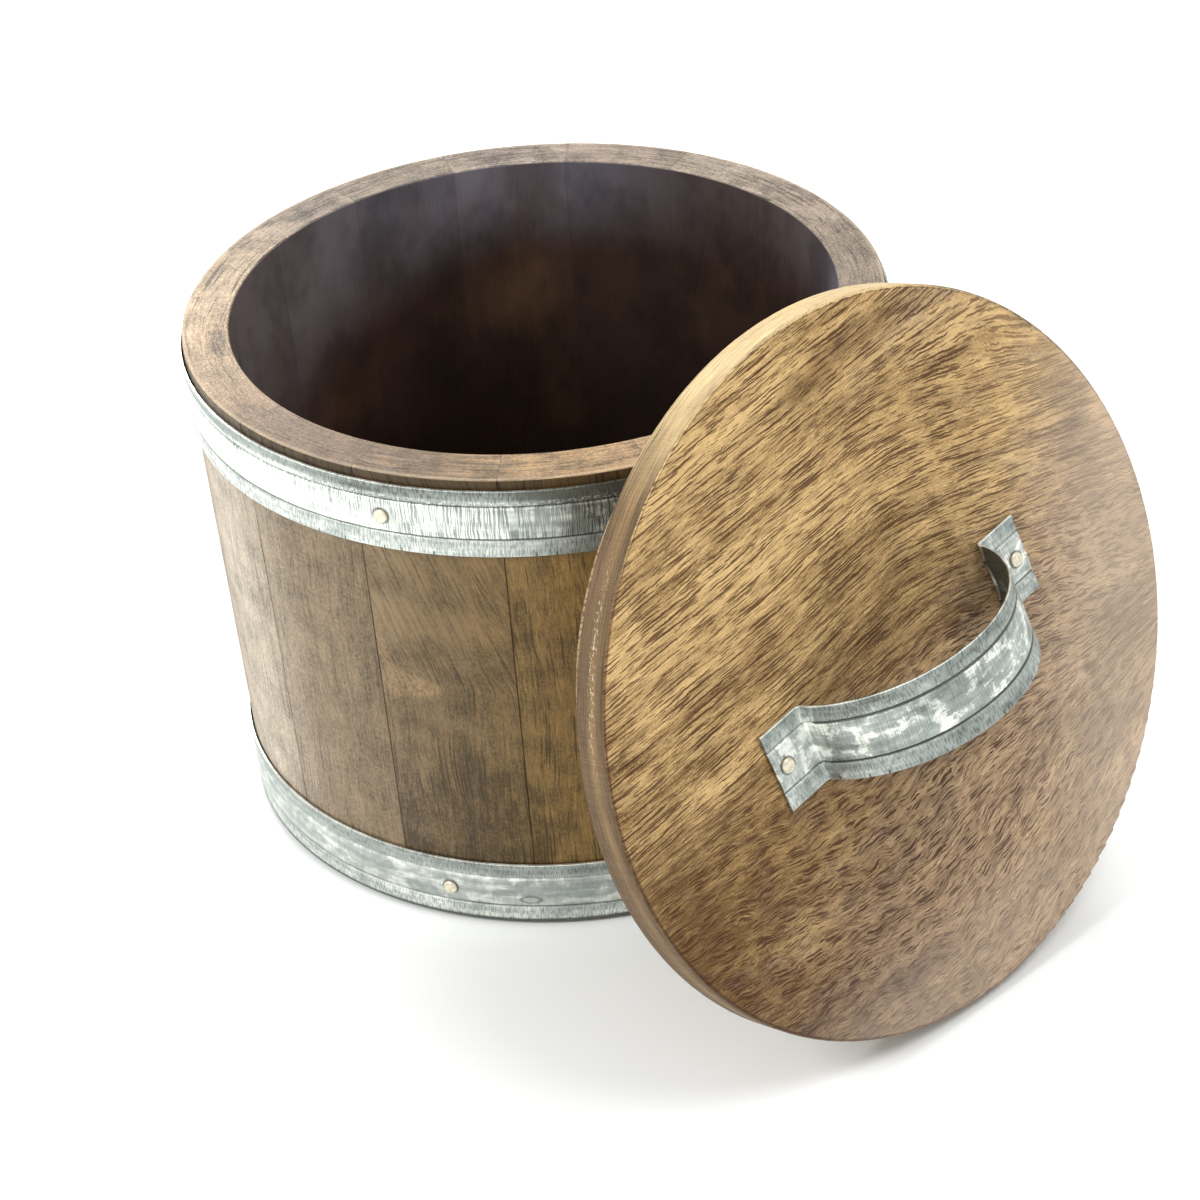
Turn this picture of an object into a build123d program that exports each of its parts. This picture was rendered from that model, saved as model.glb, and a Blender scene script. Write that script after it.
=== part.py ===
from build123d import *
import math
import os

# A small stave-built firkin with two galvanised hoops. Its lid is off and leans on the tub with
# the handle outwards. Lengths are in millimetres, angles in degrees. The origin is the middle of
# the foot, Z is up, and the lid leans on the side that faces -Y.

# Tub
rim_radius = 127.0
foot_radius = 121.0
tub_height = 192.0
wall = 17.0
rim_ease = 0.5
foot_ease = 1.5
joint_ease = 0.3
first_joint_angle = -92.9
stave_width_shares = (
    1.044, 1.027, 1.018, 0.969, 1.004, 0.982, 1.013, 0.973,
    1.000, 0.987, 1.018, 0.978, 1.004, 0.973, 1.009, 1.000,
)

# Base board, tongued into a groove round the inside of the staves
base_thickness = 14.0
tongue_thickness = 6.0
tongue_rise = 4.0
tongue_depth = 5.0
base_play = 0.15
base_ease = 0.8

# Hoops: a strip with a groove rolled in along each side, so that both edges stand off the wood
strip_gauge = 0.7
hoop_width = 26.0
hoop_flange = 6.5
groove_width = 1.6
groove_depth = 0.45
edge_flare = 0.2
band_bow = 0.25
hoop_seat_gap = 0.12
upper_hoop_drop = 3.5
lower_hoop_rise = 2.0
lap_start_angle = 95.0
lap_angle = 24.0
lap_sink = 0.1
lap_gap = 0.1

# Nails, which hold both hoops and the handle
nail_head_radius = 2.5
nail_head_height = 0.8
nail_head_ease = 0.25
nail_radius = 1.2
nail_length = 13.0
nail_hole_play = 0.05
nail_head_gap = 0.06
hoop_nail_count = 4
upper_nail_angle = -64.9
lower_nail_angle = -61.3

# Lid
lid_radius = 126.6
lid_thickness = 14.5
lid_face_ease = 1.4
lid_back_ease = 1.5
plug_depth = 25.3
plug_clearance = 1.5
plug_lead = 2.0

# How the lid leans: tilt from upright, roll in its own plane, shift sideways and clearance
lid_tilt = 17.6
lid_roll = 10.4
lid_shift = -9.4
lid_rest_gap = 0.3

# Handle: a wider strip of the same section, with a nailed foot at each end of a round arch.
# Each nail's place is a share of its foot, from the foot's end.
handle_width = 29.6
handle_flange = 6.8
handle_length = 129.2
handle_span = 91.6
handle_rise = 40.3
handle_bend = 2.8
handle_nail_share = 0.28
handle_along = 1.2
handle_across = 2.3


# Places and outlines worked out from the sizes

def outer_at(z):
    return foot_radius + (rim_radius - foot_radius) * z / tub_height


def inner_at(z):
    return outer_at(z) - wall


wall_slope = math.degrees(math.atan2(rim_radius - foot_radius, tub_height))


def out_from_axis(angle):
    return Vector(math.sin(math.radians(angle)), -math.cos(math.radians(angle)), 0)


def section_plane(angle):
    out = out_from_axis(angle)
    return Plane(origin=(0, 0, 0), x_dir=out, z_dir=out.cross(Vector(0, 0, 1)))


def wall_plane(angle, z):
    """Local X stands square out of the wall and local Y runs up it."""
    out = out_from_axis(angle)
    lean = math.radians(wall_slope)
    normal = out * math.cos(lean) - Vector(0, 0, 1) * math.sin(lean)
    up = out * math.sin(lean) + Vector(0, 0, 1) * math.cos(lean)
    place = out * outer_at(z) + Vector(0, 0, 1) * z
    return Plane(origin=place, x_dir=normal, z_dir=normal.cross(up))


def nail_plane(angle, z):
    """Local Z stands square out of the wall, with its origin on the wall."""
    face = wall_plane(angle, z)
    return Plane(origin=face.origin, x_dir=face.z_dir, z_dir=face.x_dir)


def strip_outline(width, flange, low):
    """The rolled strip's section: X is the height above the wood, Y runs across the strip."""
    half_groove = groove_width / 2
    edge = low + groove_depth + edge_flare
    shoulder = low + groove_depth
    under = [
        (edge, 0),
        (shoulder, flange - half_groove),
        (low, flange),
        (shoulder, flange + half_groove),
    ]
    over = [(x, width - y) for x, y in reversed(under)]
    top = [(x + strip_gauge, y) for x, y in reversed(over)]
    end = [(x + strip_gauge, y) for x, y in reversed(under)]
    middle = width / 2
    bow = shoulder + band_bow
    Polyline(*under)
    ThreePointArc(under[-1], (bow, middle), over[0])
    Polyline(*over)
    Line(over[-1], top[0])
    Polyline(*top)
    ThreePointArc(top[-1], (bow + strip_gauge, middle), end[0])
    Polyline(*end)
    Line(end[-1], under[0])


band_height = groove_depth + band_bow + strip_gauge


# Staves

stave_angles = [360 * share / sum(stave_width_shares) for share in stave_width_shares]
joint_angles = [first_joint_angle + sum(stave_angles[:i]) for i in range(len(stave_angles))]

groove_low = tongue_rise - base_play
groove_high = tongue_rise + tongue_thickness + base_play

upper_hoop_z = tub_height - upper_hoop_drop - hoop_width * math.cos(math.radians(wall_slope))
lower_hoop_z = lower_hoop_rise
half_hoop = hoop_width / 2 * math.cos(math.radians(wall_slope))
nail_turn = 360 / hoop_nail_count
upper_nails = [(upper_nail_angle + nail_turn * i, upper_hoop_z + half_hoop) for i in range(hoop_nail_count)]
lower_nails = [(lower_nail_angle + nail_turn * i, lower_hoop_z + half_hoop) for i in range(hoop_nail_count)]
nail_reach = math.degrees(math.asin((nail_radius + nail_hole_play) / foot_radius))


def nails_in(start, turn):
    """The nails whose shanks reach into the sector that starts there."""
    found = []
    for angle, z in upper_nails + lower_nails:
        past = (angle - start + nail_reach) % 360
        if past < turn + 2 * nail_reach:
            found.append((angle, z))
    return found


staves = []
for number, (start, turn) in enumerate(zip(joint_angles, stave_angles), 1):
    with BuildPart() as stave:
        with BuildSketch(section_plane(start)):
            with BuildLine():
                Polyline(
                    (inner_at(0), 0),
                    (outer_at(0) - foot_ease, 0),
                    (outer_at(foot_ease), foot_ease),
                    (outer_at(tub_height - rim_ease), tub_height - rim_ease),
                    (rim_radius - rim_ease, tub_height),
                    (rim_radius - wall + rim_ease, tub_height),
                    (inner_at(tub_height - rim_ease), tub_height - rim_ease),
                    (inner_at(groove_high), groove_high),
                    (inner_at(groove_high) + tongue_depth, groove_high),
                    (inner_at(groove_high) + tongue_depth, groove_low),
                    (inner_at(groove_low), groove_low),
                    close=True,
                )
            make_face()
        revolve(axis=Axis.Z, revolution_arc=turn)
        outer_arrises = stave.edges().filter_by(GeomType.LINE).sort_by(SortBy.LENGTH)[-2:]
        chamfer(outer_arrises, joint_ease)
        for angle, z in nails_in(start, turn):
            with BuildSketch(nail_plane(angle, z)):
                Circle(nail_radius + nail_hole_play)
            extrude(amount=-nail_length, mode=Mode.SUBTRACT)
    stave.part.label = f"stave_{number:02d}"
    staves.append(stave)


# Base board

tongue_high = tongue_rise + tongue_thickness
with BuildPart() as base_board:
    with BuildSketch(Plane.XZ):
        with BuildLine():
            Polyline(
                (0, 0),
                (inner_at(0) - base_play, 0),
                (inner_at(tongue_rise) - base_play, tongue_rise),
                (inner_at(groove_high) + tongue_depth - base_play, tongue_rise),
                (inner_at(groove_high) + tongue_depth - base_play, tongue_high),
                (inner_at(tongue_high) - base_play, tongue_high),
                (inner_at(base_thickness) - base_play, base_thickness),
                (0, base_thickness),
                close=True,
            )
        make_face()
    revolve(axis=Axis.Z)
    chamfer(base_board.edges().group_by(Axis.Z)[-1], base_ease)
base_board.part.label = "base_board"


# Hoops, each a ring whose lapped end climbs onto the ring and is held there by a nail

lap_throw = (strip_gauge + lap_gap + lap_sink) / math.sin(math.radians(lap_angle))


def lap_lift(past):
    """How far the lap's own end stands out, at an angle past its start."""
    inside = 0 <= past <= lap_angle
    return lap_throw * math.sin(math.radians(past)) - lap_sink if inside else 0


def lift_under(angle, start):
    return max(lap_lift((angle - start) % 360), 0)


hoops = []
for label, z, nails, start in (
    ("upper_hoop", upper_hoop_z, upper_nails, lap_start_angle + upper_nail_angle - lower_nail_angle),
    ("lower_hoop", lower_hoop_z, lower_nails, lap_start_angle),
):
    throw = out_from_axis(start + 90) * lap_throw
    with BuildPart() as hoop:
        with BuildSketch(wall_plane(start, z)):
            with BuildLine():
                strip_outline(hoop_width, hoop_flange, hoop_seat_gap)
            make_face()
        revolve(axis=Axis.Z)
        with BuildSketch(wall_plane(start, z)):
            with BuildLine():
                strip_outline(hoop_width, hoop_flange, hoop_seat_gap - lap_sink)
            make_face()
        revolve(axis=Axis(throw, (0, 0, 1)), revolution_arc=lap_angle)
        for angle, height in nails:
            with BuildSketch(nail_plane(angle, height)):
                Circle(nail_radius + nail_hole_play)
            extrude(amount=hoop_width, mode=Mode.SUBTRACT)
    hoop.part.label = label
    hoops.append(hoop)


# Hoop nails

def nail(head_under):
    """A nail along Z, for wood whose face is at zero, with its head's underside at that height."""
    with BuildPart() as one:
        with BuildSketch(Plane.XY.offset(nail_hole_play - nail_length)):
            Circle(nail_radius)
        extrude(amount=nail_length - nail_hole_play + head_under)
        with BuildSketch(Plane.XY.offset(head_under)):
            Circle(nail_head_radius)
        extrude(amount=nail_head_height)
        chamfer(one.edges().group_by(Axis.Z)[-1], nail_head_ease)
    return one.part


hoop_nails = []
for label, nails, start in (
    ("upper_hoop_nails", upper_nails, lap_start_angle + upper_nail_angle - lower_nail_angle),
    ("lower_hoop_nails", lower_nails, lap_start_angle),
):
    seated = []
    for angle, z in nails:
        head_under = hoop_seat_gap + band_height + lift_under(angle, start) + nail_head_gap
        seated.append((nail_plane(angle, z), nail(head_under)))
    with BuildPart() as group:
        for plane, shape in seated:
            with Locations(plane):
                add(shape)
    group.part.label = label
    hoop_nails.append(group)


# Where the lid leans. Its back edge stands on the floor and its plug rests on the rim or hoop.

tilt = math.radians(lid_tilt)
roll = math.radians(lid_roll)
lid_out = Vector(0, -math.cos(tilt), math.sin(tilt))
lid_up = Vector(0, math.sin(tilt), math.cos(tilt))
lid_side = Vector(1, 0, 0)
upper_hoop_top = tub_height - upper_hoop_drop
upper_hoop_edge = outer_at(upper_hoop_top) + hoop_seat_gap + groove_depth + edge_flare + strip_gauge
tub_reach = max(
    rim_radius * math.cos(tilt) + tub_height * math.sin(tilt),
    upper_hoop_edge * math.cos(tilt) + upper_hoop_top * math.sin(tilt),
)
back_radius = lid_radius - lid_back_ease
lid_z = max(
    back_radius * math.cos(tilt) + lid_thickness * math.sin(tilt),
    lid_radius * math.cos(tilt) + (lid_thickness - lid_back_ease) * math.sin(tilt),
)
lid_stand_off = tub_reach + lid_rest_gap + plug_depth + lid_thickness
lid_y = (lid_z * math.sin(tilt) - lid_stand_off) / math.cos(tilt)
lid_centre = Vector(lid_shift, lid_y, lid_z)
along = lid_side * math.cos(roll) + lid_up * math.sin(roll)
across = lid_up * math.cos(roll) - lid_side * math.sin(roll)
lid_face = Plane(origin=lid_centre, x_dir=along, z_dir=lid_out)
handle_centre = lid_centre + along * handle_along + across * handle_across
handle_foot = (handle_length - handle_span) / 2
nail_spread = handle_length / 2 - handle_foot * handle_nail_share
handle_nail_planes = [
    Plane(origin=handle_centre + along * nail_spread * side, x_dir=along, z_dir=lid_out)
    for side in (-1, 1)
]


# Lid

def rims_from_back(part):
    """The part's round edges, from the one that is deepest behind the lid's face."""
    return part.edges().filter_by(GeomType.CIRCLE).sort_by(lambda edge: edge.arc_center.dot(lid_out))


with BuildPart() as lid_slab:
    with BuildSketch(lid_face):
        Circle(lid_radius)
    extrude(amount=-lid_thickness)
    chamfer(rims_from_back(lid_slab)[0], lid_back_ease)
    fillet(rims_from_back(lid_slab)[-1], lid_face_ease)
    for plane in handle_nail_planes:
        with BuildSketch(plane):
            Circle(nail_radius + nail_hole_play)
        extrude(amount=-nail_length, mode=Mode.SUBTRACT)
lid_slab.part.label = "lid_slab"

plug_radius = inner_at(tub_height - plug_depth) - plug_clearance
with BuildPart() as lid_plug:
    with BuildSketch(lid_face.offset(-lid_thickness)):
        Circle(plug_radius)
    extrude(amount=-plug_depth)
    chamfer(rims_from_back(lid_plug)[0], plug_lead)
lid_plug.part.label = "lid_plug"


# Handle

half_span = handle_span / 2
half_length = handle_length / 2
side_plane = Plane(origin=handle_centre, x_dir=along, z_dir=-across)
with BuildPart() as handle_strap:
    with BuildLine(side_plane) as handle_line:
        Line((-half_length, 0), (-half_span, 0))
        ThreePointArc((-half_span, 0), (0, handle_rise), (half_span, 0))
        Line((half_span, 0), (half_length, 0))
        bends = handle_line.vertices().sort_by(lambda v: abs((v.center() - handle_centre).dot(along)))[:2]
        fillet(bends, handle_bend)
    foot_end = handle_centre - along * half_length - across * (handle_width / 2)
    with BuildSketch(Plane(origin=foot_end, x_dir=lid_out, z_dir=-along)):
        with BuildLine():
            strip_outline(handle_width, handle_flange, 0)
        make_face()
    sweep(path=handle_line.wire())
    for plane in handle_nail_planes:
        with BuildSketch(plane):
            Circle(nail_radius + nail_hole_play)
        extrude(amount=band_height + nail_head_gap, mode=Mode.SUBTRACT)
handle_strap.part.label = "handle_strap"

handle_nail = nail(band_height + nail_head_gap)
with BuildPart() as handle_nails:
    with Locations(*handle_nail_planes):
        add(handle_nail)
handle_nails.part.label = "handle_nails"


os.makedirs("parts", exist_ok=True)
pieces = staves + [base_board] + hoops + hoop_nails + [lid_slab, lid_plug, handle_strap, handle_nails]
for piece in pieces:
    export_step(piece.part, f"parts/{piece.part.label}.step")
print(len(pieces), "pieces, lid centre", lid_centre, "plug radius", round(plug_radius, 2))
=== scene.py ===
import math
from collections import namedtuple

import bpy
from mathutils import Matrix, Vector

# A small stave-built firkin with its plug lid leaning on it. Patterns are drawn in millimetres,
# everything else is in metres. Row angles are measured from the front, towards the right.

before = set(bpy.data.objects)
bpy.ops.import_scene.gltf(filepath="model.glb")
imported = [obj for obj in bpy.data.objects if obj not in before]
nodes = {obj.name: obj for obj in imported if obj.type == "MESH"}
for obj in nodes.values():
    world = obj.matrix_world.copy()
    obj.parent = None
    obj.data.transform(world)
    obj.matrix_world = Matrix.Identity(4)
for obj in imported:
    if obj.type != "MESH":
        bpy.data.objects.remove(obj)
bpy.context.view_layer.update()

mm = 0.001

# Tub, as built
rim_radius = 127.0
foot_radius = 121.0
tub_height = 192.0
wall = 17.0
first_joint_angle = -92.9
stave_width_shares = (
    1.044, 1.027, 1.018, 0.969, 1.004, 0.982, 1.013, 0.973,
    1.000, 0.987, 1.018, 0.978, 1.004, 0.973, 1.009, 1.000,
)
hoop_width = 26.0
strip_gauge = 0.7
hoop_flange = 6.5
nail_head_radius = 2.5
hoop_nails = 4
upper_hoop_drop = 3.5
lower_hoop_rise = 2.0
upper_hoop_top = tub_height - upper_hoop_drop
upper_nail_angle = -64.9
lower_nail_angle = -61.3

# Lid and handle, as built
lid_tilt = math.radians(17.6)
lid_roll = math.radians(10.4)
lid_centre = Vector((-9.4, -190.699, 124.605))
lid_radius = 126.6
lid_thickness = 14.5
handle_along = 1.2
handle_across = 2.3
handle_span = 91.6
handle_rise = 40.3
handle_width = 29.6
handle_flange = 6.8
handle_nail_along = 59.3

lid_out = Vector((0, -math.cos(lid_tilt), math.sin(lid_tilt)))
lid_up = Vector((0, math.sin(lid_tilt), math.cos(lid_tilt)))
lid_side = Vector((1, 0, 0))
grain_along = lid_side * math.cos(lid_roll) + lid_up * math.sin(lid_roll)
grain_across = lid_up * math.cos(lid_roll) - lid_side * math.sin(lid_roll)


class Pattern:
    """A value that changes over a surface. Sums on it add nodes to its tree."""

    def __init__(self, builder, socket):
        self.builder = builder
        self.socket = socket

    def other(self, name):
        """Another output of the same node."""
        return Pattern(self.builder, self.socket.node.outputs[name])

    def maths(self, operation, *values):
        return self.builder.maths(operation, *values)

    def __add__(self, other):
        return self.maths("ADD", self, other)

    def __radd__(self, other):
        return self.maths("ADD", other, self)

    def __sub__(self, other):
        return self.maths("SUBTRACT", self, other)

    def __rsub__(self, other):
        return self.maths("SUBTRACT", other, self)

    def __mul__(self, other):
        return self.maths("MULTIPLY", self, other)

    def __rmul__(self, other):
        return self.maths("MULTIPLY", other, self)

    def __truediv__(self, other):
        return self.maths("DIVIDE", self, other)

    def __pow__(self, power):
        return self.maths("POWER", self, power)

    def __abs__(self):
        return self.maths("ABSOLUTE", self)

    def least(self, other):
        return self.maths("MINIMUM", self, other)

    def most(self, other):
        return self.maths("MAXIMUM", self, other)

    def rise(self, low, high):
        """0 up to low, 1 from high, and smooth between them. With low above high it falls."""
        return self.builder.node(
            "ShaderNodeMapRange", {"interpolation_type": "SMOOTHSTEP"}, {0: self, 1: low, 2: high}
        )

    def near(self, place, width):
        """1 at the place, falling smoothly to 0 at that distance from it."""
        return abs(self - place).rise(width, 0)


class Builder:
    """The ways of adding nodes to one tree."""

    def __init__(self, tree):
        self.tree = tree
        tree.nodes.clear()

    def node(self, kind, settings=None, values=None, out=0):
        made = self.tree.nodes.new(kind)
        for name, value in (settings or {}).items():
            setattr(made, name, value)
        for name, value in (values or {}).items():
            socket = made.inputs[name]
            if isinstance(value, Pattern):
                self.tree.links.new(value.socket, socket)
            elif socket.type == "RGBA":
                socket.default_value = (*value, 1)
            else:
                socket.default_value = value
        return None if out is None else Pattern(self, made.outputs[out])

    def maths(self, operation, *values):
        return self.node("ShaderNodeMath", {"operation": operation}, dict(enumerate(values)))


class Finish(Builder):
    """One material and the patterns drawn on it."""

    def __init__(self, name):
        self.material = bpy.data.materials.new(name)
        self.material.use_nodes = True
        super().__init__(self.material.node_tree)

    def place(self):
        """The point on the piece, in millimetres in the row's frame."""
        return self.scaled(self.node("ShaderNodeTexCoord", out="Object"), 1 / mm)

    def scaled(self, colour, share):
        return self.node(
            "ShaderNodeVectorMath", {"operation": "SCALE"}, {0: colour, "Scale": share}
        )

    def reach(self, place, direction):
        """How far the place lies along a direction from the origin."""
        return self.node(
            "ShaderNodeVectorMath", {"operation": "DOT_PRODUCT"},
            {0: place, 1: tuple(direction)}, out="Value",
        )

    def parts(self, place):
        """How far the place lies to the right, to the back and up."""
        return tuple(self.reach(place, axis) for axis in ((1, 0, 0), (0, 1, 0), (0, 0, 1)))

    def point(self, x, y, z):
        return self.node("ShaderNodeCombineXYZ", None, {0: x, 1: y, 2: z})

    def cloud(self, x, y, z, detail=2.0, rough=0.5):
        """Soft noise, mostly from 0.25 to 0.75, with one lump about as wide as the unit."""
        return self.node(
            "ShaderNodeTexNoise", None,
            {"Vector": self.point(x, y, z), "Scale": 1.0, "Detail": detail, "Roughness": rough},
        )

    def lumps(self, along, across, depth, length, width, detail=2.0, rough=0.5):
        """The same noise in lumps about that long and wide. The depth picks another set of them."""
        return self.cloud(along / length, across / width, depth, detail, rough)

    def strokes(self, along, across, seed, length, width, smallest, largest, crowd=1.0):
        """Crisp tapered strokes, one to a cell of that length and width, each as large as its
        cell draws and smaller where the crowd is thin."""
        cell = self.node(
            "ShaderNodeTexVoronoi", {"voronoi_dimensions": "2D"},
            {"Vector": self.point(along / length + seed, across / width, 0.0), "Scale": 1.0},
        )
        drawn = smallest + (largest - smallest) * self.red(cell.other("Color"))
        size = (drawn * crowd).most(0.001)
        return cell.rise(size, size * 0.75)

    def mix(self, share, first, second):
        return self.node(
            "ShaderNodeMix", {"data_type": "RGBA"}, {0: share, 6: first, 7: second}, out=2
        )

    def red(self, colour):
        return self.node("ShaderNodeSeparateColor", None, {0: colour})

    def surface(self, colour, roughness, height, lift, metallic=0.0, specular=0.5):
        """Ends the finish. The height is in millimetres and its bump is as strong as the lift."""
        bump = self.node(
            "ShaderNodeBump", None, {"Strength": lift, "Distance": mm, "Height": height}
        )
        shader = self.node("ShaderNodeBsdfPrincipled", None, {
            "Base Color": colour, "Roughness": roughness, "Metallic": metallic,
            "Specular IOR Level": specular, "Normal": bump,
        })
        self.node("ShaderNodeOutputMaterial", None, {0: shader}, out=None)
        return self.material


def paint(red, green, blue):
    """A colour as it is seen on a screen, from 0 to 255, made ready for a shader."""
    def light(value):
        share = value / 255
        return share / 12.92 if share <= 0.04045 else ((share + 0.055) / 1.055) ** 2.4
    return light(red), light(green), light(blue)


def between(first, second, share):
    return tuple(a + (b - a) * share for a, b in zip(first, second))


def bent(f, along, across, depth, seed, sway, swirl):
    """The place across the grain, bent as real grain is, so that what is drawn on it runs in
    long waves."""
    slow = f.lumps(along, across, depth / 60 + seed, length=95, width=45, detail=1.0)
    quick = f.lumps(along, across, depth / 20 + seed + 40, length=22, width=11, detail=1.0)
    return across + (slow - 0.5) * sway + (quick - 0.5) * swirl


def wisps(f, along, lines, depth, length, width, start, full):
    """Thin tapered streaks along the grain, about that long and that wide."""
    return f.lumps(along, lines, depth, length, width, detail=1.0, rough=0.45).rise(start, full)


def dress(name, material):
    slots = nodes[name].data.materials
    slots.clear()
    slots.append(material)


# Staves

joint_tint = paint(44, 34, 27)
wedge_tint = paint(166, 138, 102)
# The rim's pale edge tint is partly wear and partly painted highlight
lit_worn_rim_tint = paint(226, 204, 172)
# The foot's tint is painted shade, where the wall meets the floor
foot_shade_tint = (0.02, 0.016, 0.014)
lip_shadow_tint = (0.024, 0.014, 0.007)

# How much lighter a stave gets towards its top, from which height, and over what height
rising = {2: 1.7, 3: 0.7, 4: 0.6}
rise_middle, rise_height = 90.0, 420.0
# The paler wedge by one stave's first joint: from which height to which, how far it reaches, and
# its tail at the bottom
wedge_stave = 2
wedge_low, wedge_high, wedge_reach, wedge_tail = 99.0, 134.0, 12.0, 14.0
# Above this height the grain of some staves leans, by this much to the millimetre
slant_start, slant_rate = 105.0, 0.36

# A stave's tint, its rim's tint, and how streaky, how cross-textured and how slanted it is
StaveLook = namedtuple("StaveLook", "tint rim_tint streaky crossed slant")
stave_looks = {
    1: StaveLook(paint(128, 111, 89), paint(112, 94, 76), 0.5, 1.0, 0.0),
    2: StaveLook(paint(103, 85, 59), paint(105, 86, 64), 0.8, 0.5, 1.0),
    3: StaveLook(paint(122, 96, 52), paint(148, 121, 86), 1.0, 0.25, 0.1),
    4: StaveLook(paint(116, 96, 72), paint(150, 124, 92), 0.9, 0.4, 0.0),
    # Staves 16, 15 and 14, round the left, are tinted paler and greyer: painted light washing over
    # that side
    16: StaveLook(paint(178, 165, 147), paint(148, 127, 104), 0.6, 0.8, 0.0),
    15: StaveLook(paint(148, 128, 104), paint(172, 150, 124), 0.7, 0.6, 0.2),
    14: StaveLook(paint(134, 113, 88), paint(168, 148, 124), 0.8, 0.5, 0.0),
}
other_looks = (
    StaveLook(paint(124, 103, 79), paint(130, 116, 102), 0.9, 0.5, 0.2),
    StaveLook(paint(116, 97, 75), paint(134, 121, 108), 1.0, 0.4, 0.0),
    StaveLook(paint(132, 110, 86), paint(125, 112, 98), 0.7, 0.8, 0.3),
    StaveLook(paint(118, 95, 68), paint(131, 117, 103), 1.1, 0.3, 0.0),
    StaveLook(paint(126, 106, 84), paint(136, 123, 109), 0.8, 0.7, 0.4),
)
stave_count = len(stave_width_shares)
# How close to the top a stave's rim starts, and how deep in the wall its inside does
rim_margin = 0.3
inside_start, inside_full = wall - 4, wall - 1
# How far a stave's tints drift towards its neighbour's by the joint, where 0.5 leaves no step
tint_drift, rim_drift = 0.36, 0.46

# Tints of the inside, from the deep ones low down up to the painted glare and painted light high up
# on the window side
inside_deep = paint(31, 16, 8)
inside_middle = paint(51, 35, 27)
inside_near = paint(78, 55, 47)
inside_warm = paint(92, 66, 40)
inside_glare = paint(104, 99, 107)
inside_dusk = paint(74, 63, 60)
inside_pale = paint(113, 102, 99)
# How light each stave is inside, in turn
inside_shares = (0.90, 1.10, 0.98, 1.12, 0.92)
# Row angle of the inside's palest place, and how far round it reaches
palest_angle, pale_reach = 233.0, 92.0
# Heights between which the inside leaves its deep tint and reaches its upper one, and how much
# lower each of them lies at the palest place
deep_heights, deep_drops = (78, 146), (95, 45)
upper_heights, upper_drops = (150, 190), (70, 25)


def outer_at(height):
    return foot_radius + (rim_radius - foot_radius) * height / tub_height


def looks_of(number):
    number = (number - 1) % stave_count + 1
    return stave_looks.get(number, other_looks[number % len(other_looks)])


def wedge_share(from_joint, height, blotches, broad, speckle):
    """How much of the wedge's tint shows, at that distance from the joint."""
    band = height.rise(wedge_low - 2, wedge_low + 2) * height.rise(wedge_high + 3, wedge_high - 2)
    taper = wedge_reach / (wedge_high - wedge_low)
    reach = (wedge_high - height) * taper + height.near(wedge_low + 5, 7) * wedge_tail
    ragged = (blotches - 0.5) * 10 + (broad - 0.5) * 8
    slope = (reach + ragged - from_joint).rise(-3, 5)
    return band * slope * speckle.rise(0.20, 0.80) * 0.66


def inside_colour(f, number, middle, angle, place, fibres):
    """The dark inside, darker low down, with painted light that is palest high up on the side that
    the window light reaches.
    """
    east, north, height = place
    off_palest = (math.degrees(middle) - palest_angle + 180) % 360 - 180
    pale = abs(angle + math.radians(off_palest)).rise(math.radians(pale_reach), 0)

    def from_heights(heights, drops):
        return height.rise(*(level - pale * drop for level, drop in zip(heights, drops)))

    side = f.mix(east.rise(112, 80), inside_dusk, inside_glare)
    below = f.mix(pale, inside_middle, inside_near)
    above = f.mix(pale, side, inside_pale)
    upper = f.mix(from_heights(upper_heights, upper_drops), below, above)
    deep = f.mix(from_heights(deep_heights, deep_drops), inside_deep, upper)
    warm = f.cloud(east / 34, north / 34, height / 40, 2.0).rise(0.54, 0.74) * height.rise(50, 120)
    deep = f.mix(warm * 0.30, deep, inside_warm)
    dim = f.cloud(east / 26 + 9, north / 26, height / 34, 3.0, 0.6).rise(0.35, 0.62)
    share = inside_shares[number % len(inside_shares)]
    return f.scaled(deep, (dim * 0.42 + 0.62 + (fibres - 0.5) * 0.3) * share)


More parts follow.
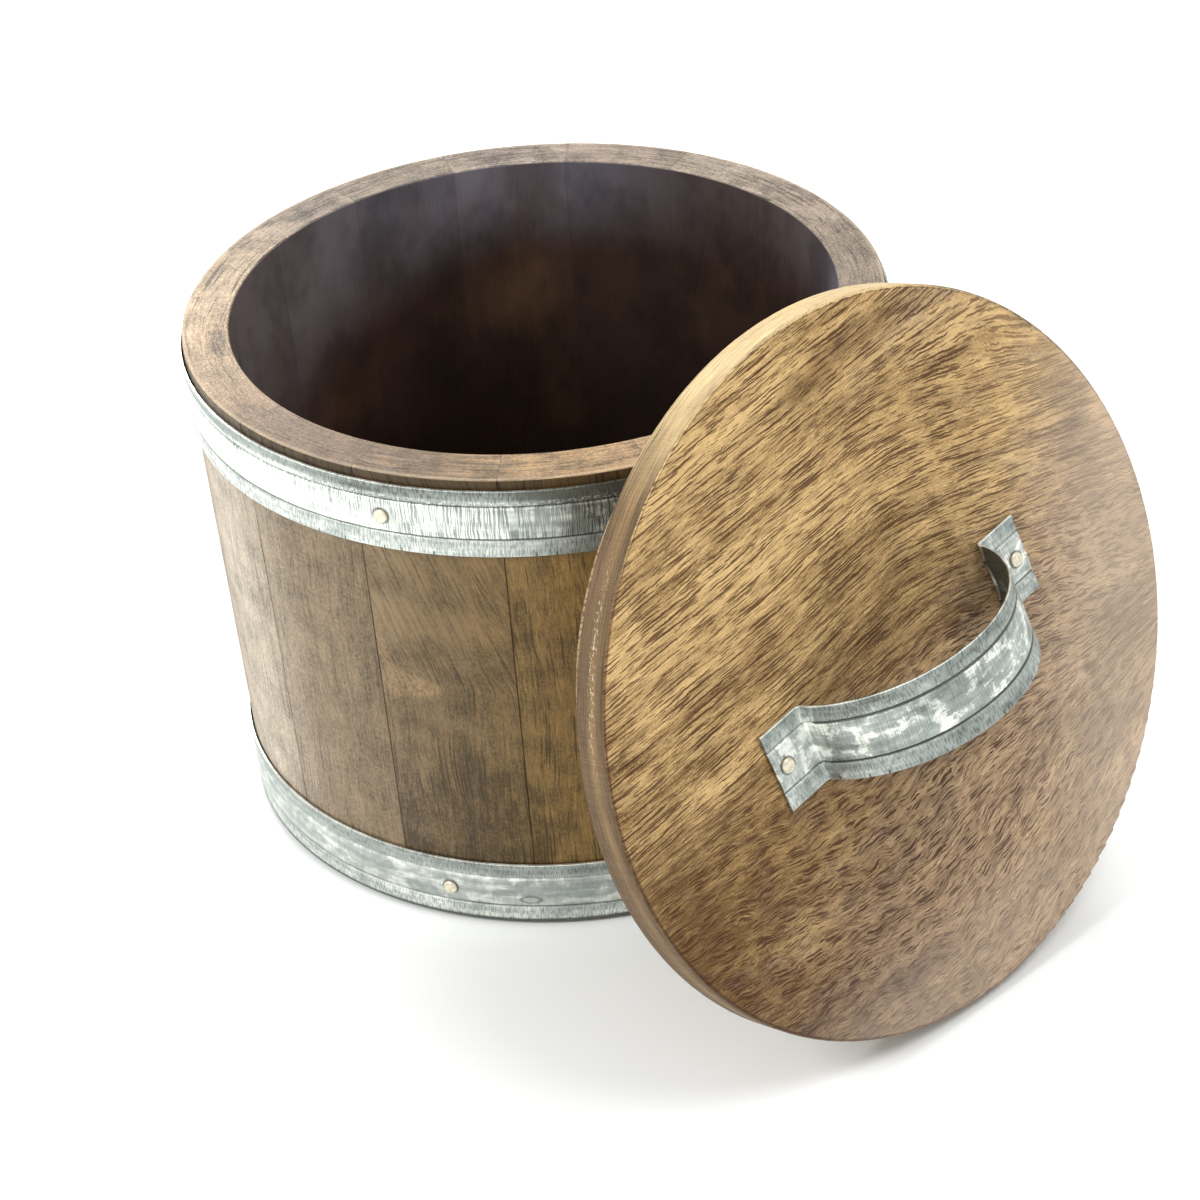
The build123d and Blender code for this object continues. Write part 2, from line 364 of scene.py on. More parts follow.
def stave_wood(number, start, turn):
    """The finish of the stave that starts at that row angle and turns so far, in degrees."""
    look, before, after = looks_of(number), looks_of(number - 1), looks_of(number + 1)
    streaky = look.streaky
    seed = 3.7 * number
    middle = math.radians(start + turn / 2)
    half_turn = math.radians(turn / 2)
    f = Finish(f"stave_wood_{number:02d}")
    at = f.place()
    outward = f.reach(at, (math.sin(middle), -math.cos(middle), 0))
    sideways = f.reach(at, (math.cos(middle), math.sin(middle), 0))
    east, north, height = f.parts(at)
    radius = (outward * outward + sideways * sideways) ** 0.5
    angle = f.maths("ARCTAN2", sideways, outward)
    round_it = angle * radius
    into = outer_at(height) - radius
    on_rim = f.maths("GREATER_THAN", height, tub_height - rim_margin)
    inside = into.rise(inside_start, inside_full) * (1 - on_rim)
    outside = (1 - inside) * (1 - on_rim)

    # The grain runs up the wall, and round the tub on the rim
    along = height + (round_it - height) * on_rim
    across = round_it + (into - round_it) * on_rim
    slant = (height - slant_start).most(0) * slant_rate * look.slant * (1 - on_rim)
    lines = bent(f, along, across + slant, into * 0.2, seed, sway=9.0, swirl=2.2)
    fibres = f.lumps(along, lines, seed + 5, length=9, width=0.42)
    dark_wisps = wisps(f, along, lines, seed + 21, length=16, width=1.2, start=0.54, full=0.66)
    light_wisps = wisps(f, along, lines, seed + 31, length=14, width=1.7, start=0.56, full=0.72)
    dark_strokes = f.strokes(
        along, lines, seed, length=13, width=1.15, smallest=-0.04, largest=0.30)
    light_strokes = f.strokes(
        along, lines, seed + 50, length=11, width=0.95, smallest=-0.10, largest=0.30)
    cracks = f.strokes(along, lines, seed + 80, length=46, width=1.7, smallest=-0.06, largest=0.32)
    flames = f.strokes(along, lines, seed + 90, length=30, width=2.6, smallest=0.0, largest=0.36)
    flames = flames * height.rise(slant_start - 5, slant_start + 25) * look.slant
    broad = f.lumps(along, lines, seed + 9, length=50, width=7, detail=3.0, rough=0.6)
    blotches = f.lumps(along, across, seed + 13, length=12, width=17, detail=5.0, rough=0.62)
    speckle = f.lumps(along, lines, seed + 23, length=1.3, width=0.8, detail=3.0, rough=0.65)
    saw_marks = f.lumps(along, across, seed + 17, length=0.55, width=3.5, detail=1.0)
    sawn = f.lumps(along, across, seed + 19, length=16, width=14).rise(0.40, 0.60)
    sawn = sawn * (0.3 + 0.5 * look.crossed)

    tone = 0.5 + (broad - 0.5) * streaky + (blotches - 0.5) * (0.2 + 1.4 * streaky)
    tone = tone + (fibres - 0.5) * 0.8 + (speckle - 0.5) * 1.4 + flames * 0.75 * speckle
    tone = tone + (saw_marks - 0.5) * 0.8 * sawn
    tone = tone + light_wisps * 0.22 * streaky - dark_wisps * 0.18 * streaky
    tone = tone + light_strokes * 0.28 * streaky - dark_strokes * 0.24 * streaky
    tone = tone - cracks * 0.45 * streaky
    lighter = (height - rise_middle) / rise_height * (1 - on_rim) * rising.get(number, 0)
    tone = (tone + lighter).most(0).least(1)

    to_first, to_last = angle.rise(0, -half_turn), angle.rise(0, half_turn)

    def drifting(own, first, last, drift):
        """A tint that drifts to its neighbours' by the joints."""
        tint = f.mix(to_first, own, between(own, first, drift))
        return f.mix(to_last, tint, between(own, last, drift))

    wall_tint = drifting(look.tint, before.tint, after.tint, tint_drift)
    colour = f.scaled(wall_tint, tone * 1.10 + 0.40)
    if number == wedge_stave:
        from_joint = round_it + half_turn * radius
        wedge = wedge_share(from_joint, height, blotches, broad, speckle)
        colour = f.mix(wedge, colour, wedge_tint)
    rim_tint = drifting(look.rim_tint, before.rim_tint, after.rim_tint, rim_drift)
    flecks = f.lumps(along, lines, seed + 71, length=1.1, width=0.6, detail=1.0).rise(0.62, 0.70)
    colour = f.mix(on_rim, colour, f.scaled(rim_tint, tone * 1.25 + 0.29 + flecks * 0.60))
    dark = inside_colour(f, number, middle, angle, (east, north, height), fibres)
    colour = f.mix(inside, colour, dark)

    # Painted shade along the foot of the wall, where it meets the floor
    foot_shade = height.rise(3.0, 1.0) * (1 - inside)
    colour = f.mix(foot_shade * 0.8, colour, foot_shade_tint)
    above_hoop = height.rise(upper_hoop_top - 1, upper_hoop_top) * outside
    colour = f.mix(above_hoop * (0.74 + 0.16 * dark_wisps), colour, lip_shadow_tint)
    # The rim's rounded outer edge is lighter: some wear, and a painted highlight where it catches
    # the light
    lit_worn_edge = into.rise(2.2, 0.6) * on_rim * (0.3 + fibres)
    colour = f.mix(lit_worn_edge * 0.30, colour, lit_worn_rim_tint)
    from_edge = half_turn * radius - abs(round_it)
    joint = from_edge.rise(0.32, 0.1) * (0.50 - 0.15 * on_rim - 0.34 * inside)
    # Grime and painted shade near each joint
    grime_and_shade = from_edge.rise(3.0, 0.2) * 0.12 * outside
    colour = f.mix(joint.most(grime_and_shade), colour, joint_tint)
    roughness = 0.50 + (fibres - 0.5) * 0.4 + inside * 0.12
    relief = fibres * 0.10 - dark_strokes * 0.07 - dark_wisps * 0.04 - joint * 0.15
    return f.surface(colour, roughness, relief, 0.6, specular=0.22)


stave_turns = [360 * share / sum(stave_width_shares) for share in stave_width_shares]
for number, turn in enumerate(stave_turns, 1):
    start = first_joint_angle + sum(stave_turns[:number - 1])
    dress(f"stave_{number:02d}", stave_wood(number, start, turn))


# Base board, of planks glued edge to edge

plank_width = 62.0
plank_shift = 18.0
board_dark = (0.012, 0.008, 0.005)
board_light = (0.060, 0.036, 0.023)
underside_dark = paint(92, 74, 56)
underside_light = paint(164, 140, 112)


def board_wood():
    f = Finish("base_wood")
    x, y, z = f.parts(f.place())
    plank = f.maths("FLOOR", (x + plank_shift) / plank_width)
    lines = bent(f, y, x, z * 0.3 + plank * 31, 4.0, sway=8.0, swirl=2.0)
    fibres = f.lumps(y, lines, plank * 17, length=14, width=0.6)
    broad = f.lumps(y, lines, plank * 13 + 5, length=60, width=6, detail=3.0, rough=0.6)
    dark_wisps = wisps(f, y, lines, z + plank * 9, length=10, width=1.3, start=0.54, full=0.68)
    tone = 0.5 + (broad - 0.5) * 1.6 + (fibres - 0.5) * 0.9 - dark_wisps * 0.35
    under = z.rise(2, 0.5)
    colour = f.mix(tone, board_dark, board_light)
    colour = f.mix(under, colour, f.mix(tone, underside_dark, underside_light))
    off_middle = abs(x + plank_shift - plank * plank_width - plank_width / 2)
    seam = off_middle.rise(plank_width / 2 - 0.25, plank_width / 2 - 0.05)
    colour = f.mix(seam * 0.8, colour, joint_tint)
    relief = fibres * 0.1 - dark_wisps * 0.1 - seam * 0.3
    return f.surface(colour, 0.6 + (fibres - 0.5) * 0.3, relief, 0.6)


dress("base_board", board_wood())


# Lid

gold_light = paint(224, 188, 130)
gold_deep = paint(112, 82, 44)
rose_light = paint(218, 186, 146)
rose_deep = paint(100, 76, 58)
stain_gold = paint(94, 64, 32)
stain_rose = paint(88, 68, 56)
pore_gold = paint(74, 43, 20)
pore_rose = paint(66, 40, 30)
glare_tint = paint(200, 183, 167)
edge_light = paint(122, 100, 73)
edge_deep = paint(66, 49, 34)
edge_tan = paint(154, 125, 84)
edge_sunlit = paint(226, 199, 148)
edge_worn = paint(214, 198, 172)
edge_line = paint(70, 42, 30)
plug_dark = paint(104, 79, 54)
plug_light = paint(186, 154, 112)

# Where the grain of the lid's lower half turns down to both sides, and where it turns again on
# the far right, along the grain
cup_middle = 22.0
far_right_start = 12.0
# Where the tan stripe runs round the edge, with the worn flecks on it, out from the face
stripe_out = -6.0
# The face ends and the edge starts between these, out from the face
face_end, edge_start = -0.2, -0.5
# Distances from the lid's middle between which the line inside the arris sets in, the painted
# highlight on its upper part does, and the wood of the lid's flat back does
line_start, line_full = lid_radius - 1.5, lid_radius - 0.9
highlight_start, highlight_full = lid_radius - 1.0, lid_radius - 0.7
back_start, back_full = lid_radius - 1.6, lid_radius - 2.4
# Stained and pale places on the face: place along and across the grain, half length, half width
lid_dark_blots = (
    (97, -47, 17, 12), (72, -73, 17, 9), (108, 32, 9, 34),
    (-112, -30, 13, 34), (25, 106, 36, 9), (-52, -95, 32, 7),
)
lid_pale_blots = (
    (68, -50, 14, 9), (78, -98, 24, 12), (-28, 73, 42, 6), (-88, 14, 16, 7), (-80, -54, 18, 8),
)


def lid_place(f):
    """The place along the grain, across it and out of the face, from the middle of the face."""
    at = f.place()
    return tuple(
        f.reach(at, direction) - lid_centre.dot(direction)
        for direction in (grain_along, grain_across, lid_out)
    )


def sag(distance, onset, slope):
    """How far a line has bent away: slowly over the onset, and then at that slope."""
    return distance * distance / (distance + onset) * slope


def cupped(along, across):
    """The place across the grain, bent as the grain of the lid's face is."""
    left_of = (0 - along - cup_middle).most(0)
    right_of = (along + cup_middle).most(0)
    far_right = (along - far_right_start).most(0)
    cup = across - sag(left_of, onset=20, slope=0.22) * across.rise(15, -25)
    far_bend = sag(far_right, onset=30, slope=0.36)
    cup = cup + far_bend * across.rise(-66, -34) * across.rise(105, 55)
    return cup - sag(right_of, onset=40, slope=0.34) * across.rise(-40, -76)


def lid_pores(f, along, across, out, lines, low, crowd):
    """The dark strokes of the open pores: long above, short and curled in the lower half."""
    ragged = lines + (f.lumps(along, lines, 85.0, length=3.2, width=1.2, detail=1.0) - 0.5) * 0.8
    gather = f.lumps(along, lines, 33.0, length=12, width=6, detail=3.0, rough=0.6).rise(0.34, 0.62)
    long_pores = wisps(f, along, lines, out / 8, length=11, width=0.62, start=0.555, full=0.60)
    wide_pores = wisps(f, along, lines, out / 8 + 30, length=10, width=0.95, start=0.585, full=0.63)
    short_pores = wisps(
        f, along, lines, out / 8 + 90, length=6, width=1.02, start=0.535, full=0.585)
    upper_crowd = 0.74 + 0.36 * crowd
    lower_crowd = (0.62 + 0.46 * gather) * (1 - across.rise(-62, -112) * 0.34)
    long_strokes = f.strokes(
        along, ragged, 3.0, length=36, width=1.05, smallest=0.06, largest=0.35, crowd=upper_crowd)
    fine_strokes = f.strokes(
        along, ragged, 23.0, length=20, width=0.85, smallest=0.02, largest=0.36, crowd=upper_crowd)
    short_strokes = f.strokes(
        along, ragged, 43.0, length=10, width=0.9, smallest=-0.08, largest=0.34,
        crowd=0.6 + 0.5 * gather)
    low_strokes = f.strokes(
        along, ragged, 60.0, length=13, width=1.15, smallest=0.05, largest=0.42, crowd=lower_crowd)
    low_fine = f.strokes(
        along, ragged, 90.0, length=8.5, width=0.9, smallest=0.03, largest=0.40, crowd=lower_crowd)
    upper = (long_pores.most(wide_pores) * 0.40 * (0.3 + 0.7 * crowd)).most(long_strokes)
    upper = upper.most(fine_strokes * 0.9).most(short_strokes * 0.8)
    upper = upper * (1 - low.rise(0.35, 0.9) * 0.8)
    lower = (short_pores * 0.35).most(low_strokes).most(low_fine * 0.85)
    return upper.most(lower * low.rise(0.1, 0.65))


def blots(along, across, ragged, places):
    """All the blots at those places, with ragged edges."""
    shown = None
    for place_along, place_across, half_length, half_width in places:
        off_along = (along - place_along) / half_length
        off_across = (across - place_across) / half_width
        off = (off_along * off_along + off_across * off_across) ** 0.5
        blot = (off + ragged).rise(1.25, 0.45)
        shown = blot if shown is None else shown.most(blot)
    return shown


def lid_edge_colour(f, along, across, out, upward, glare):
    """The edge round the lid: fine dark lines, a tan stripe, worn flecks, sunlit on top, and under
    a pale veil of painted glare.
    """
    turned = f.maths("ARCTAN2", across, along) * lid_radius
    edge_lines = f.lumps(turned, out, 3.0, length=26, width=0.7, detail=3.0, rough=0.6)
    edge_fine = f.lumps(turned, out, 9.0, length=6, width=0.35)
    tone = 0.5 + (edge_lines - 0.5) * 1.7 + (edge_fine - 0.5) * 1.0
    colour = f.mix(tone, edge_deep, edge_light)
    broken = f.lumps(turned, out, 15.0, length=40, width=5).rise(0.35, 0.6)
    stripe = out.near(stripe_out, 4.5) * (0.25 + 0.75 * broken)
    colour = f.mix(stripe * 0.55, colour, edge_tan)
    sunlit = (upward + (edge_lines - 0.5) * 0.22).rise(0.70, 1.0)
    colour = f.mix(sunlit * (0.25 + 0.75 * tone), colour, edge_sunlit)
    worn = f.lumps(turned, out, 71.0, length=1.4, width=0.8).rise(0.56, 0.61)
    worn = worn * out.near(stripe_out, 2.4) * upward.near(0.40, 0.34)
    colour = f.mix(worn * 0.85, colour, edge_worn)
    return f.mix(glare * 0.45, colour, glare_tint)


def lid_wood():
    f = Finish("lid_wood")
    along, across, out = lid_place(f)
    radius = (along * along + across * across) ** 0.5
    edge = out.rise(face_end, edge_start)
    low = across.rise(22, -18)
    # The right part of the face is painted lighter, with fainter stains, pores and line: painted
    # light washing it out
    right = along.rise(50, 120)
    upward = (across * math.cos(lid_roll) + along * math.sin(lid_roll)) / lid_radius

    cup = cupped(along, across)
    curl = (f.lumps(along, cup, 81.0, length=14, width=9) - 0.5) * 6.0
    lines = bent(f, along, cup, out, 2.0, sway=7.0, swirl=1.5) + curl * low
    fibres = f.lumps(along, lines, out / 3, length=7, width=0.35)
    speckle = f.lumps(along, lines, out / 3, length=0.9, width=0.7, detail=1.0)
    crowd = f.lumps(along, lines, 31.0, length=26, width=6, detail=3.0, rough=0.6).rise(0.34, 0.60)
    pores = lid_pores(f, along, across, out, lines, low, crowd)

    smears = f.lumps(along, lines, 47.0, length=18, width=2.4, detail=4.0, rough=0.62)
    smears = smears.rise(0.50, 0.66) * (0.35 + 0.65 * crowd)
    stains = f.lumps(along, lines, 33.5, length=12, width=6, detail=4.0, rough=0.62)
    stains = stains.rise(0.46, 0.66)
    ragged = (f.lumps(along, lines, 91.0, length=16, width=9, detail=3.0, rough=0.6) - 0.5) * 1.6
    dark_blots = blots(along, across, ragged, lid_dark_blots)
    pale_blots = blots(along, across, ragged, lid_pale_blots)
    patches = f.lumps(along, lines, 53.0, length=26, width=14, detail=4.0, rough=0.64)
    patches = patches.rise(0.42, 0.66)
    bands = f.lumps(along, lines, 57.0, length=80, width=9, detail=3.0, rough=0.6)
    streaks = f.lumps(along, lines, 7.0, length=45, width=3.0, detail=4.0, rough=0.62)
    mottle = f.lumps(along, lines, 67.0, length=5, width=3.2, detail=3.0, rough=0.6)
    glow = across.near(66, 24) * along.rise(30, -50) + across.near(112, 20) * along.rise(60, -20)
    dim_middle = across.near(12, 52) * along.near(0, 85)
    rosy_top = across.near(108, 50) * along.rise(-30, 40)
    rose = 0.42 - across / 115 + along / 210 + (patches - 0.5) * 0.3 + rosy_top * 0.75
    rose = rose.rise(0.1, 0.9)

    tone = 0.68 + ((streaks - 0.5) * 1.3 + (bands - 0.5) * 1.1) * (1 - low * 0.45)
    tone = tone + (mottle - 0.5) * (0.3 + 0.3 * low) + pale_blots * 0.20 - dim_middle * 0.22
    tone = tone + (fibres - 0.5) * 0.8 + (speckle - 0.5) * (0.8 - 0.35 * low)
    tone = tone + glow * 0.26 - patches * (0.22 - 0.12 * low) - low * 0.11 + right * 0.20
    tone = tone - along.rise(-50, -120) * 0.12 - along.rise(20, -80) * low * 0.30
    colour = f.mix(rose, f.mix(tone, gold_deep, gold_light), f.mix(tone, rose_deep, rose_light))
    stain = f.mix(rose, stain_gold, stain_rose)
    colour = f.mix(smears * (0.30 - 0.16 * low - 0.10 * right), colour, stain)
    colour = f.mix(stains * (0.10 + 0.20 * low), colour, stain)
    colour = f.mix(dark_blots * 0.36, colour, stain)
    colour = f.mix(pores * (0.90 - 0.38 * right), colour, f.mix(rose, pore_gold, pore_rose))
    # Painted glare: a pale veil of light over the right and the bottom of the face
    glare = (along - across * 0.5).rise(45, 125).most(across.rise(-72, -114) * 0.62)
    colour = f.mix(glare * 0.48, colour, glare_tint)

    # The edge, but not the lid's flat back, and a line just inside the arris of the face
    flat_back = out.rise(0.2 - lid_thickness, -0.2 - lid_thickness)
    behind = flat_back.most(radius.rise(back_start, back_full))
    edge_colour = lid_edge_colour(f, along, across, out, upward, glare)
    colour = f.mix(edge * (1 - behind), colour, edge_colour)
    line = radius.rise(line_start, line_full) * (1 - edge)
    # Along the top of the lid the line gives way to a painted highlight on the arris
    arris_highlight = upward.rise(0.5, 0.85) * radius.rise(highlight_start, highlight_full)
    arris_highlight = arris_highlight * fibres.rise(0.35, 0.5)
    line_share = line * (0.75 - 0.5 * right) * (1 - glare * 0.8) * (1 - arris_highlight)
    colour = f.mix(line_share, colour, edge_line)
    colour = f.mix(line * arris_highlight * 0.8, colour, edge_sunlit)
    roughness = 0.47 + (fibres - 0.5) * 0.4 + pores * 0.12
    relief = fibres * 0.05 + speckle * 0.03 - pores * 0.20 - line * 0.2
    return f.surface(colour, roughness, relief, 0.8, specular=0.14)


def plug_wood():
    f = Finish("plug_wood")
    along, across, out = lid_place(f)
    lines = bent(f, along, across, out, 12.0, sway=14.0, swirl=2.6)
    fibres = f.lumps(along, lines, out / 3, length=14, width=0.6)
    broad = f.lumps(along, lines, 9.0, length=70, width=8, detail=3.0, rough=0.6)
    pores = wisps(f, along, lines, out / 2, length=9, width=0.9, start=0.55, full=0.62)
    tone = 0.55 + (broad - 0.5) * 1.7 + (fibres - 0.5) * 0.9
    colour = f.mix(tone, plug_dark, plug_light)
    colour = f.mix(pores * 0.7, colour, pore_gold)
    relief = fibres * 0.08 - pores * 0.13
    return f.surface(colour, 0.55 + (fibres - 0.5) * 0.3, relief, 0.7, specular=0.35)


dress("lid_slab", lid_wood())
dress("lid_plug", plug_wood())


# Galvanised strip

zinc_dark = paint(94, 97, 90)
zinc_mid = paint(156, 163, 159)
crease_tint = paint(62, 62, 57)
zinc_bright = paint(243, 245, 237)


def zinc(
        name, strip, seed, width, flange, shine, cloudy, mottle, hatch, top_shade, low_shade,
        top_line=1.0, low_line=1.0, grime_and_shade=0.0, mark=None):
    """Galvanised strip. The strip gives the place along it and across it, how much darker it is
    there, and how far the nearest nail is, in millimetres."""
    f = Finish(name)
    along, across, shade, from_nail = strip(f)
    below_top = width - across
    flat = across.least(below_top).rise(flange - 0.3, flange + 0.3)
    top = across.rise(width - flange - 0.3, width - flange + 0.3)
    foot = across.rise(flange + 0.3, flange - 0.3)

    drift = along + (f.lumps(along, across, seed + 2, length=6, width=4, detail=1.0) - 0.5) * 0.9
    scores = f.lumps(drift, across, seed, length=0.38, width=12, detail=0.0).rise(0.42, 0.60)
    ticks = f.lumps(drift, across, seed + 5, length=0.46, width=3.0, detail=1.0, rough=0.4)
    ticks = ticks.rise(0.48, 0.60)
    dense = f.lumps(along, across, seed + 7, length=24, width=14).rise(0.36, 0.56)
    clouds = f.lumps(along, across, seed + 8, length=9, width=6, detail=5.0, rough=0.62)
    bloom = clouds.rise(0.51, 0.57)
    stain = f.lumps(along, across, seed + 12, length=13, width=8, detail=4.0, rough=0.6)
    stain = stain.rise(0.50, 0.66)
    crystals = f.node(
        "ShaderNodeTexVoronoi", None,
        {"Vector": f.point(along / 2.6, across / 2.6, seed), "Scale": 1.0},
    )
    spangle = f.red(crystals.other("Color"))
    rolled = f.lumps(along, across, seed + 30, length=40, width=3.5, detail=3.0, rough=0.6)
    scuffs = across.rise(1.8, 0.8) * f.cloud(along / 2.2, 3.0, seed + 40, 2.0).rise(0.60, 0.66)

    tone = shine + (clouds - 0.5) * cloudy + (rolled - 0.5) * 0.7 + (spangle - 0.5) * 0.10
    tone = tone + bloom * flat * mottle - stain * mottle * 0.6
    tone = tone - scores * hatch * flat * (0.5 + 0.5 * dense) - ticks * (1 - flat) * 0.20
    by_crease = below_top.rise(flange - 3.6, flange - 1.6)
    tone = tone - top * (top_shade - by_crease * top_shade * 0.55) - foot * low_shade
    # A painted highlight along the top edge
    tone = tone + across.rise(width - 0.6, width - 0.2) * 0.5 - shade * (1 - foot * 0.5)
    # Scuffs near the bottom edge, and the bottom edge darkened with grime and painted shade
    tone = tone - scuffs * 0.5 - across.rise(1.3, 0.3) * grime_and_shade
    if mark:
        mark_along, mark_across, half_length, half_width = mark
        off_along = (along - mark_along) / half_length
        off_across = (across - mark_across) / half_width
        from_mark = (off_along ** 2 + off_across ** 2) ** 0.5
        tone = tone - from_mark.near(1, 0.4) * 0.35
    colour = f.mix(tone.rise(0.0, 0.55), zinc_dark, zinc_mid)
    colour = f.mix(tone.rise(0.45, 1.0), colour, zinc_bright)

    # Both creases, darker with dirt and painted shade in the grooves, the worn fringe and the
    # sparkle of painted glints by the top one, and the painted shadow ring round each nail
    dashes = f.cloud(along / 0.9, 2.0, seed + 20, 2.0).rise(0.40, 0.54)
    sparkle = f.lumps(along, across, seed + 26, length=1.1, width=1.1).rise(0.52, 0.62)
    sparkle = sparkle * below_top.near(flange - 1.4, 1.5)
    fringe = f.cloud(along / 0.5, 5.0, seed + 24, 0.0).rise(0.50, 0.62)
    fringe = fringe * below_top.near(flange - 0.6, 1.8) * dense
    # The creases are darkened with dirt and with painted shade in the grooves
    low_crease = across.near(flange, 0.65)
    top_crease = below_top.near(flange, 0.65) * top_line * (0.15 + 0.85 * dashes)
    worn = (low_crease * low_line).most(top_crease).most(fringe * hatch * 1.3)
    colour = f.mix(sparkle * hatch * 1.2 * (1 - shade), colour, zinc_bright)
    colour = f.mix(worn * 0.8, colour, crease_tint)
    # Painted shadow round each nail head
    nail_shadow_ring = from_nail.near(nail_head_radius + 0.35, 0.75)
    colour = f.mix(nail_shadow_ring * 0.75, colour, crease_tint)
    roughness = 0.36 + bloom * 0.16 + (spangle - 0.5) * 0.12 + ticks * 0.06
    relief = clouds * 0.22 - scores * flat * 0.03 - ticks * (1 - flat) * 0.04 - worn * 0.08
    return f.surface(colour, roughness, relief, 0.8, metallic=0.8)


# The hoop is painted darker where it runs behind the lid, as painted shade and a painted reflection
# of the dark lid, between these row angles
lid_shade_start, lid_shade_full = math.radians(-50), math.radians(-33)
lid_shade_last, lid_shade_end = math.radians(20), math.radians(75)
# It is painted paler round its left, as painted light, between these
pale_start, pale_full = math.radians(-62), math.radians(-88)
pale_last, pale_end = math.radians(-130), math.radians(-175)


def hoop_strip(low, nail_angle, lid_shade, left_light):
    def strip(f):
        x, y, z = f.parts(f.place())
        angle = f.maths("ARCTAN2", x, 0 - y)
        half_step = math.pi / hoop_nails
        past_nail = f.maths("WRAP", angle - math.radians(nail_angle), half_step, -half_step)
        past_nail = past_nail * rim_radius
        over_nail = z - low - hoop_width / 2
        from_nail = (past_nail * past_nail + over_nail * over_nail) ** 0.5
        behind_lid = angle.rise(lid_shade_start, lid_shade_full)
        behind_lid = behind_lid * angle.rise(lid_shade_end, lid_shade_last)
        on_left = angle.rise(pale_start, pale_full) * angle.rise(pale_end, pale_last)
        shade = behind_lid * lid_shade - on_left * left_light
        return angle * rim_radius, z - low, shade, from_nail
    return strip


# How much darker the handle is on its inner side, and how much lighter its feet are
handle_inner_shade, foot_light = 0.75, 0.18
# How much closer the pattern lies on the feet
foot_stretch = 1.5


def handle_strip(f):
    along, across, out = lid_place(f)
    along, across = along - handle_along, across - handle_across
    centre_out = handle_rise / 2 - (handle_span / 2) ** 2 / (2 * handle_rise)
    inner_radius = handle_rise - centre_out
    arch = f.maths("ARCTAN2", along, out - centre_out) * inner_radius
    foot = f.maths("GREATER_THAN", abs(along), handle_span / 2)
    from_centre = (along * along + (out - centre_out) * (out - centre_out)) ** 0.5
    inner = from_centre.rise(inner_radius + strip_gauge * 1.5, inner_radius + strip_gauge * 1.2)
    shade = inner * (1 - foot) * handle_inner_shade - foot * foot_light
    past_nail = abs(along) - handle_nail_along
    from_nail = (past_nail * past_nail + across * across) ** 0.5
    return arch + (along * foot_stretch - arch) * foot, across + handle_width / 2, shade, from_nail


upper_strip = hoop_strip(
    upper_hoop_top - hoop_width, upper_nail_angle, lid_shade=0.42, left_light=0.20)
lower_strip = hoop_strip(lower_hoop_rise, lower_nail_angle, lid_shade=0.06, left_light=0.0)
# Oval mark pressed into the lower hoop: place along and across the strip, half length, half width
pressed_mark = (math.radians(-47.4) * rim_radius, 9.8, 3.7, 1.5)
dress("upper_hoop", zinc(
    "upper_hoop_zinc", upper_strip, 2.0, hoop_width, hoop_flange,
    shine=0.87, cloudy=0.35, mottle=0.12, hatch=0.46, top_shade=0.58, low_shade=0.20))
dress("lower_hoop", zinc(
    "lower_hoop_zinc", lower_strip, 31.0, hoop_width, hoop_flange,
    shine=0.63, cloudy=0.34, mottle=0.10, hatch=0.04, top_shade=0.12, low_shade=-0.10,
    top_line=0.15, low_line=0.75, grime_and_shade=0.7, mark=pressed_mark))
dress("handle_strap", zinc(
    "handle_zinc", handle_strip, 57.0, handle_width, handle_flange,
    shine=0.59, cloudy=0.9, mottle=0.24, hatch=0.16, top_shade=0.20, low_shade=0.10,
    top_line=0.35, low_line=0.9))


# Nails

nail_dull = paint(202, 193, 170)
nail_bright = paint(240, 231, 208)


def nail_metal(name, seed):
    f = Finish(name)
    x, y, z = f.parts(f.place())
    dents = f.cloud(x / 1.6, y / 1.6, z / 1.6 + seed, 3.0)
    rub = f.cloud(x / 0.5, y / 2.5, z / 0.5, 2.0)
    colour = f.mix((dents * 0.7 + rub * 0.3).rise(0.35, 0.65), nail_dull, nail_bright)
    return f.surface(colour, 0.36 + (rub - 0.5) * 0.3, dents * 0.12, 0.6, metallic=0.5)


hoop_nail_metal = nail_metal("hoop_nail_metal", 1.0)
dress("upper_hoop_nails", hoop_nail_metal)
dress("lower_hoop_nails", hoop_nail_metal)
dress("handle_nails", nail_metal("handle_nail_metal", 9.0))


# Floor and light

floor_half = 4.0
floor_tint = (0.95, 0.97, 0.96)


def floor_paint():
    f = Finish("floor_paint")
    x, y, _ = f.parts(f.place())
    grain = f.cloud(x / 3, y / 3, 0.0, 2.0)
    return f.surface(floor_tint, 0.75 + (grain - 0.5) * 0.1, grain * 0.02, 0.3)


floor_mesh = bpy.data.meshes.new("floor")
corners = [
    (-floor_half, -floor_half, 0), (floor_half, -floor_half, 0),
    (floor_half, floor_half, 0), (-floor_half, floor_half, 0),
]
floor_mesh.from_pydata(corners, [], [(0, 1, 2, 3)])
floor_mesh.materials.append(floor_paint())
floor = bpy.data.objects.new("floor", floor_mesh)
bpy.context.scene.collection.objects.link(floor)

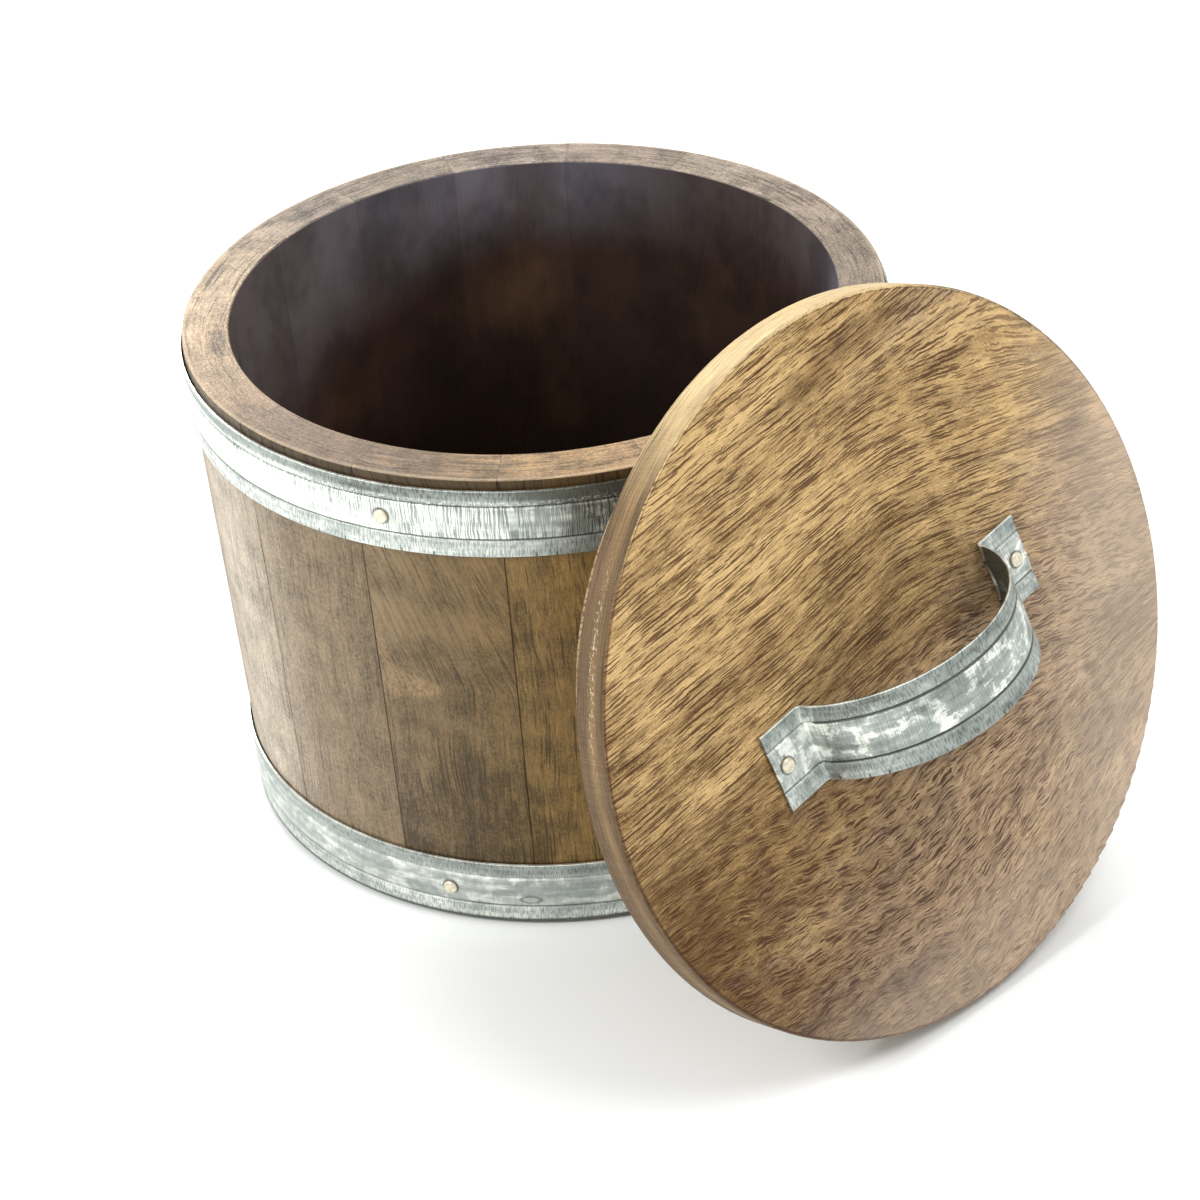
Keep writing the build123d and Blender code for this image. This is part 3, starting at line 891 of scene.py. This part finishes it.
# The air is white where it is seen or mirrored, and lights the firkin more weakly
sky_strength = 0.66
world = bpy.data.worlds.new("studio_air")
bpy.context.scene.world = world
world.use_nodes = True
air = Builder(world.node_tree)
seen = air.node("ShaderNodeLightPath", out="Is Camera Ray")
mirrored = seen.other("Is Glossy Ray")
lit = sky_strength + (1 - sky_strength) * seen.most(mirrored)
sky = air.node("ShaderNodeBackground", None, {"Color": (1, 1, 1), "Strength": lit})
air.node("ShaderNodeOutputWorld", None, {0: sky}, out=None)


def lamp(name, place, target, size, power):
    data = bpy.data.lights.new(name, "AREA")
    data.shape = "DISK"
    data.size = size
    data.energy = power
    made = bpy.data.objects.new(name, data)
    made.location = place
    made.rotation_euler = (Vector(target) - Vector(place)).to_track_quat("-Z", "Y").to_euler()
    bpy.context.scene.collection.objects.link(made)


lamp("window_left", (-1.4, 0.15, 1.3), (0, 0, 0.1), size=0.7, power=21)
lamp("window_right", (0.5, 1.3, 1.4), (0, 0, 0.1), size=0.5, power=21)
lamp("window_above", (0.2, -0.9, 1.7), (0, -0.1, 0.1), size=0.8, power=12)


# Camera, placed where the photograph was taken from

picture_width = 1200.0
focal_pixels = 3083.58
camera_place = Vector((-618.49, -770.89, 716.97)) * mm
camera_turn, camera_drop, camera_roll = 0.69248, 0.58798, -0.07348

look = Vector((
    math.sin(camera_turn) * math.cos(camera_drop),
    math.cos(camera_turn) * math.cos(camera_drop),
    -math.sin(camera_drop),
))
right = look.cross(Vector((0, 0, 1))).normalized()
over = right.cross(look)
right_rolled = right * math.cos(camera_roll) + over * math.sin(camera_roll)
over_rolled = over * math.cos(camera_roll) - right * math.sin(camera_roll)
camera_data = bpy.data.cameras.new("camera")
camera_data.sensor_fit = "HORIZONTAL"
camera_data.sensor_width = 36
camera_data.lens = focal_pixels / picture_width * camera_data.sensor_width
camera_data.clip_end = 50
camera = bpy.data.objects.new("camera", camera_data)
camera.matrix_world = Matrix((right_rolled, over_rolled, -look)).transposed().to_4x4()
camera.location = camera_place
bpy.context.scene.collection.objects.link(camera)
bpy.context.scene.camera = camera
bpy.context.scene.view_settings.view_transform = "Standard"
